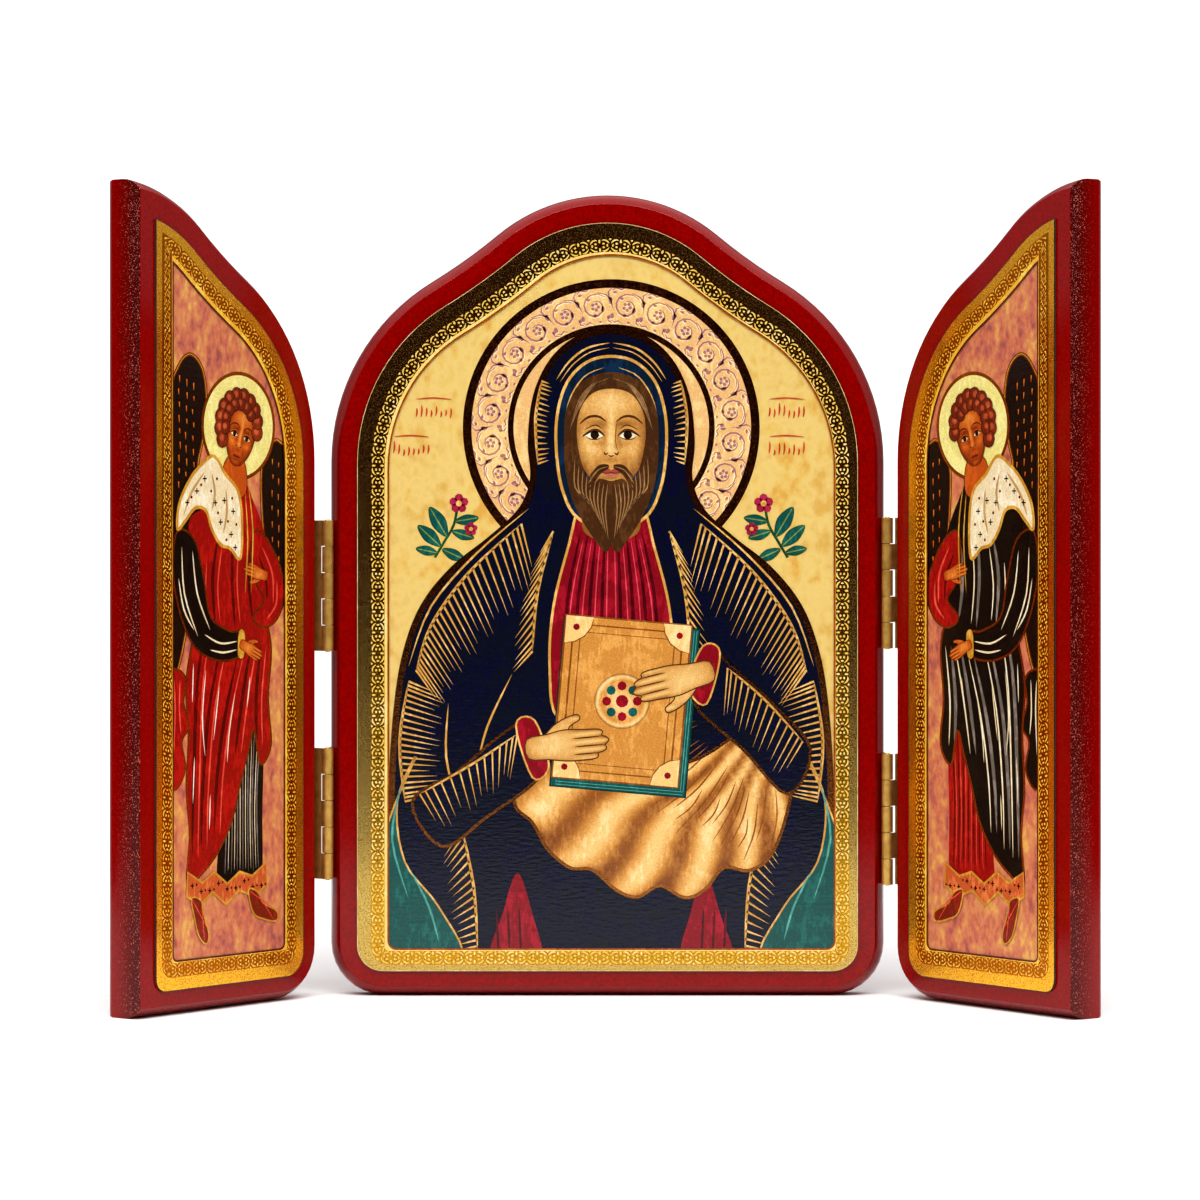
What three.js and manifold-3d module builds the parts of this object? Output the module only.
// A folding three-board icon stand: an arched centre board, two half-arch wings on brass butt
// hinges, and a thin printed sheet glued to the inner face of each board.
// Millimetres, +Z up. The inner faces look along -Y. The origin is on the floor, in the middle
// of the flat strip that the centre board stands on.
import * as THREE from "three";
import { mergeVertices } from "three/addons/utils/BufferGeometryUtils.js";
import Module from "manifold-3d";

// Centre board
const panelWidth = 148;
const panelHeight = 214;
const boardThickness = 12;
const crownRadius = 46;
const valleyRadius = 151; // the hollow curve between crown and shoulder
const shoulderRadius = 56.5;
const shoulderHeight = 142.6; // where the shoulder arcs run into the upright sides
const cornerRadius = 14;

// Edges: a round-over that meets the face in a crease, and a small quarter round behind
const frontRoundDepth = 6.2;
const frontRoundInset = 2.7;
const backRound = 2.2;

// Wings: the same outline, cut upright a little short of the middle
const wingWidth = 69.45;

// Printed sheets
const sheetThickness = 0.3;
const glueGap = 0.03;
const centreSheet = { margin: 7.3, drop: 0.5, free: 0 };
const wingSheet = { margin: 7.8, drop: 1.3, free: 5.2, freeCorner: 3.4 };

// Butt hinges
const barrelRadius = 1.5;
const pinRadius = 0.7;
const pinClearance = 0.08;
const pinHead = 0.25; // how far a pin stands out of its barrel
const pinChamfer = 0.15;
const knuckleCount = 5;
const knuckleLength = 6.8;
const knuckleGap = 0.2;
const leafThickness = 0.8;
const leafReach = 9.6; // from the pin's axis to the leaf's far edge
const leafFromAxis = 0.1;
const edgeFromAxis = 0.5; // from the pin's axis to the end face of each board
const axisProud = 1.0; // how far the pins stand in front of the centre board's face
const recessPlay = 0.05; // between a leaf and the recess it is let into
const hingeLength = knuckleCount * knuckleLength + (knuckleCount - 1) * knuckleGap;

// One entry for each wing: its side, how far it stands open forward of flat, how far its face
// lies behind the pin's axis, which knuckles its own leaves carry, and its hinges' mid-heights
const wings = [
  {
    name: "left",
    side: -1,
    openAngle: 52.4,
    setBack: 1.8,
    ownKnuckles: [0, 2, 4],
    notchRadius: 2.1,
    hingeHeights: { upper: 109.5, lower: 48.8 },
  },
  {
    name: "right",
    side: 1,
    openAngle: 53.1,
    setBack: 0.8,
    ownKnuckles: [1, 3],
    notchRadius: 2.6,
    hingeHeights: { upper: 110.2, lower: 47.3 },
  },
];

// Fineness of the round stretches
const arcSteps = { crown: 12, valley: 5, shoulder: 16, corner: 8, front: 4, back: 3 };
const barrelSides = 20;
const boreSides = 16;
const weld = 1e-4; // points closer than this are one

const halfWidth = panelWidth / 2;
const wingStart = halfWidth - wingWidth; // the wing's free edge, measured from the middle
const faceY = -(frontRoundDepth + boardThickness - backRound) / 2;
const axisX = halfWidth + edgeFromAxis;
const axisY = faceY - axisProud;

const lacquer = new THREE.MeshStandardMaterial({ color: 0x7d0c0a, roughness: 0.32, metalness: 0 });
const brass = new THREE.MeshStandardMaterial({ color: 0xa98545, roughness: 0.35, metalness: 1 });
const print = new THREE.MeshStandardMaterial({ color: 0xc79a4b, roughness: 0.4, metalness: 0.5 });

const wasm = await Module();
wasm.setup();

function solidOf(geometry) {
  const bare = geometry.clone();
  bare.deleteAttribute("normal");
  bare.deleteAttribute("uv");
  const merged = mergeVertices(bare, weld);
  return new wasm.Manifold(
    new wasm.Mesh({
      numProp: 3,
      vertProperties: new Float32Array(merged.attributes.position.array),
      triVerts: new Uint32Array(merged.index.array),
    }),
  );
}

function geometryOf(solid) {
  const mesh = solid.getMesh();
  const geometry = new THREE.BufferGeometry();
  geometry.setAttribute("position", new THREE.BufferAttribute(mesh.vertProperties, 3));
  geometry.setIndex(new THREE.BufferAttribute(mesh.triVerts, 1));
  geometry.computeVertexNormals();
  return geometry;
}

function boxSolid(low, high) {
  const size = high.map((value, i) => value - low[i]);
  const box = new THREE.BoxGeometry(...size);
  box.translate(...low.map((value, i) => value + size[i] / 2));
  return solidOf(box);
}

function uprightCylinder(radius, zLow, zHigh, sides) {
  const cylinder = new THREE.CylinderGeometry(radius, radius, zHigh - zLow, sides);
  cylinder.rotateX(Math.PI / 2);
  cylinder.translate(0, 0, (zLow + zHigh) / 2);
  return solidOf(cylinder);
}

// The centres and meeting angles of the three arcs on the right half of the outline
function outlineArcs() {
  const crown = new THREE.Vector2(0, panelHeight - crownRadius);
  const shoulder = new THREE.Vector2(halfWidth - shoulderRadius, shoulderHeight);
  const span = shoulder.clone().sub(crown);
  const toCrown = crownRadius + valleyRadius;
  const toShoulder = shoulderRadius + valleyRadius;
  const length = span.length();
  const along = (toCrown ** 2 - toShoulder ** 2 + length ** 2) / (2 * length);
  const across = Math.sqrt(toCrown ** 2 - along ** 2);
  const unit = span.divideScalar(length);
  const valley = new THREE.Vector2(
    crown.x + along * unit.x - across * unit.y,
    crown.y + along * unit.y + across * unit.x,
  );
  const crownEnd = valley.clone().sub(crown).angle();
  const shoulderStart = valley.clone().sub(shoulder).angle();
  return { crown, valley, shoulder, crownEnd, shoulderStart };
}
const arcs = outlineArcs();

function arcPoints(centre, radius, from, to, steps) {
  return Array.from({ length: steps + 1 }, (_, i) => {
    const angle = from + ((to - from) * i) / steps;
    return new THREE.Vector2(
      centre.x + radius * Math.cos(angle),
      centre.y + radius * Math.sin(angle),
    );
  });
}

// The right half of the outline, drawn in by inset, from x = start on the crown round to the
// underside at x = start
function halfOutline(inset, start) {
  const crownR = crownRadius - inset;
  const cornerCentre = new THREE.Vector2(halfWidth - cornerRadius, cornerRadius);
  const first = Math.acos(start / crownR);
  return [
    ...arcPoints(arcs.crown, crownR, first, arcs.crownEnd, arcSteps.crown),
    ...arcPoints(
      arcs.valley,
      valleyRadius + inset,
      arcs.crownEnd + Math.PI,
      arcs.shoulderStart + Math.PI,
      arcSteps.valley,
    ).slice(1),
    ...arcPoints(
      arcs.shoulder,
      shoulderRadius - inset,
      arcs.shoulderStart,
      0,
      arcSteps.shoulder,
    ).slice(1),
    ...arcPoints(cornerCentre, cornerRadius - inset, 0, -Math.PI / 2, arcSteps.corner),
    new THREE.Vector2(start, inset),
  ];
}

function wholeOutline(inset) {
  const right = halfOutline(inset, 0).slice(0, -1);
  const left = right
    .slice(1)
    .reverse()
    .map((point) => new THREE.Vector2(-point.x, point.y));
  return [...right, ...left];
}

// Depth from the face, and how far the outline is drawn in there. cut is the same for the
// wing's sawn free edge, which is rounded at the back only.
function edgeProfile() {
  const radius = (frontRoundDepth ** 2 + frontRoundInset ** 2) / (2 * frontRoundInset);
  const rows = [];
  for (let i = 0; i <= arcSteps.front; i++) {
    const depth = (frontRoundDepth * i) / arcSteps.front;
    const inset = radius - Math.sqrt(radius ** 2 - (frontRoundDepth - depth) ** 2);
    rows.push({ depth, inset, cut: 0 });
  }
  for (let i = 0; i <= arcSteps.back; i++) {
    const angle = (Math.PI / 2) * (i / arcSteps.back);
    const inset = backRound * (1 - Math.cos(angle));
    const depth = boardThickness - backRound + backRound * Math.sin(angle);
    rows.push({ depth, inset, cut: inset });
  }
  return rows;
}

// A closed slab through rings of points, from the first ring's depth to the last one's
function slab(rings) {
  const clockwise = THREE.ShapeUtils.isClockWise(rings[0].points);
  const outlines = rings.map(({ points }) => (clockwise ? points : [...points].reverse()));
  const count = outlines[0].length;
  const positions = outlines.flatMap((points, r) =>
    points.flatMap((point) => [point.x, rings[r].depth, point.y]),
  );
  const index = [];
  for (let r = 0; r + 1 < rings.length; r++) {
    for (let i = 0; i < count; i++) {
      const a = r * count + i;
      const b = r * count + ((i + 1) % count);
      index.push(a, b, a + count, b, b + count, a + count);
    }
  }
  const last = (rings.length - 1) * count;
  for (const [a, b, c] of THREE.ShapeUtils.triangulateShape(outlines[0], [])) {
    index.push(a, b, c, last + a, last + c, last + b);
  }
  const geometry = new THREE.BufferGeometry();
  geometry.setAttribute("position", new THREE.Float32BufferAttribute(positions, 3));
  geometry.setIndex(index);
  return solidOf(geometry);
}

// A wing's sheet keeps a square-cut top at its free side, and a rounded corner below
function wingSheetOutline() {
  const { margin, free, freeCorner } = wingSheet;
  const start = wingStart + free;
  const centre = new THREE.Vector2(start + freeCorner, margin + freeCorner);
  const outline = halfOutline(margin, start).slice(0, -1);
  return [
    ...outline,
    ...arcPoints(centre, freeCorner, -Math.PI / 2, -Math.PI, arcSteps.corner),
  ];
}

// From the outline's own frame (x from the middle line) to the wing's (x from the pin's axis,
// towards the free edge), on the wing's own side
function toWing(points, side) {
  return points.map(
    (point) => new THREE.Vector2(side * (edgeFromAxis + halfWidth - point.x), point.y),
  );
}

function sheetRings(points, faceDepth) {
  return [faceDepth - glueGap - sheetThickness, faceDepth - glueGap].map((depth) => ({
    depth,
    points,
  }));
}

function dropped(points, drop) {
  return points.map((point) => new THREE.Vector2(point.x, point.y - drop));
}

function knuckleSpan(index) {
  const low = -hingeLength / 2 + index * (knuckleLength + knuckleGap);
  return [low, low + knuckleLength];
}

// One leaf with its knuckles, about the pin's axis, with the plate on the given side of it
function leafSolid(side, own, notchRadius) {
  const inner = side * leafFromAxis;
  const outer = side * (leafFromAxis + leafThickness);
  let leaf = boxSolid(
    [Math.min(inner, outer), 0, -hingeLength / 2],
    [Math.max(inner, outer), leafReach, hingeLength / 2],
  );
  for (let i = 0; i < knuckleCount; i++) {
    const [low, high] = knuckleSpan(i);
    if (own.includes(i)) {
      leaf = leaf.add(uprightCylinder(barrelRadius, low, high, barrelSides));
    } else {
      const from = low - knuckleGap;
      const to = high + knuckleGap;
      leaf = leaf.subtract(uprightCylinder(notchRadius, from, to, barrelSides));
    }
  }
  const bore = pinRadius + pinClearance;
  return leaf.subtract(uprightCylinder(bore, -hingeLength, hingeLength, boreSides));
}

function pinGeometry() {
  const half = hingeLength / 2 + pinHead;
  const profile = [
    new THREE.Vector2(0, -half),
    new THREE.Vector2(pinRadius - pinChamfer, -half),
    new THREE.Vector2(pinRadius, -half + pinChamfer),
    new THREE.Vector2(pinRadius, half - pinChamfer),
    new THREE.Vector2(pinRadius - pinChamfer, half),
    new THREE.Vector2(0, half),
  ];
  const pin = new THREE.LatheGeometry(profile, boreSides);
  pin.rotateX(Math.PI / 2);
  return geometryOf(solidOf(pin));
}

// The shallow recess for one leaf, cut into the end face of a board. towardsBoard is +1 or -1,
// and heights are measured from the floor.
function recess(towardsBoard, axis, mid) {
  const near = axis[0];
  const far = axis[0] + towardsBoard * (leafFromAxis + leafThickness + recessPlay);
  return boxSolid(
    [Math.min(near, far), axis[1] - leafReach, mid - hingeLength / 2 - recessPlay],
    [Math.max(near, far), axis[1] + leafReach + recessPlay, mid + hingeLength / 2 + recessPlay],
  );
}

function named(name, geometry, material) {
  const mesh = new THREE.Mesh(geometry, material);
  mesh.name = name;
  return mesh;
}

function makeCentre() {
  const rings = edgeProfile().map(({ depth, inset }) => ({ depth, points: wholeOutline(inset) }));
  let board = slab(rings);
  for (const wing of wings) {
    for (const mid of Object.values(wing.hingeHeights)) {
      board = board.subtract(recess(-wing.side, [wing.side * axisX, axisY - faceY], mid));
    }
  }
  const sheet = slab(
    sheetRings(dropped(wholeOutline(centreSheet.margin), centreSheet.drop), 0),
  );
  const group = new THREE.Group();
  group.position.set(0, faceY, 0);
  group.add(named("centre_panel", geometryOf(board), lacquer));
  group.add(named("centre_picture", geometryOf(sheet), print));
  return group;
}

function makeWing({ name, side, openAngle, setBack, ownKnuckles, notchRadius, hingeHeights }) {
  const rings = edgeProfile().map(({ depth, inset, cut }) => ({
    depth: depth + setBack,
    points: toWing(halfOutline(inset, wingStart + cut), side),
  }));
  let board = slab(rings);
  const sheet = slab(
    sheetRings(toWing(dropped(wingSheetOutline(), wingSheet.drop), side), setBack),
  );
  const group = new THREE.Group();
  group.position.set(side * axisX, axisY, 0);
  group.rotation.z = THREE.MathUtils.degToRad(-side * openAngle);
  for (const [level, mid] of Object.entries(hingeHeights)) {
    board = board.subtract(recess(side, [0, 0], mid));
    const leaf = named(
      `${name}_${level}_wing_leaf`,
      geometryOf(leafSolid(side, ownKnuckles, notchRadius)),
      brass,
    );
    leaf.position.z = mid;
    group.add(leaf);
  }
  group.add(named(`${name}_wing`, geometryOf(board), lacquer));
  group.add(named(`${name}_picture`, geometryOf(sheet), print));
  return group;
}

// The half of each hinge that stays with the centre board: its leaf and the pin
function makeFixedHinges({ name, side, ownKnuckles, notchRadius, hingeHeights }) {
  const others = [...Array(knuckleCount).keys()].filter((i) => !ownKnuckles.includes(i));
  const group = new THREE.Group();
  group.position.set(side * axisX, axisY, 0);
  for (const [level, mid] of Object.entries(hingeHeights)) {
    const leaf = named(
      `${name}_${level}_centre_leaf`,
      geometryOf(leafSolid(-side, others, notchRadius)),
      brass,
    );
    const pin = named(`${name}_${level}_pin`, pinGeometry(), brass);
    leaf.position.z = mid;
    pin.position.z = mid;
    group.add(leaf, pin);
  }
  return group;
}

const triptych = new THREE.Group();
triptych.add(makeCentre());
for (const wing of wings) {
  triptych.add(makeFixedHinges(wing), makeWing(wing));
}

export default triptych;
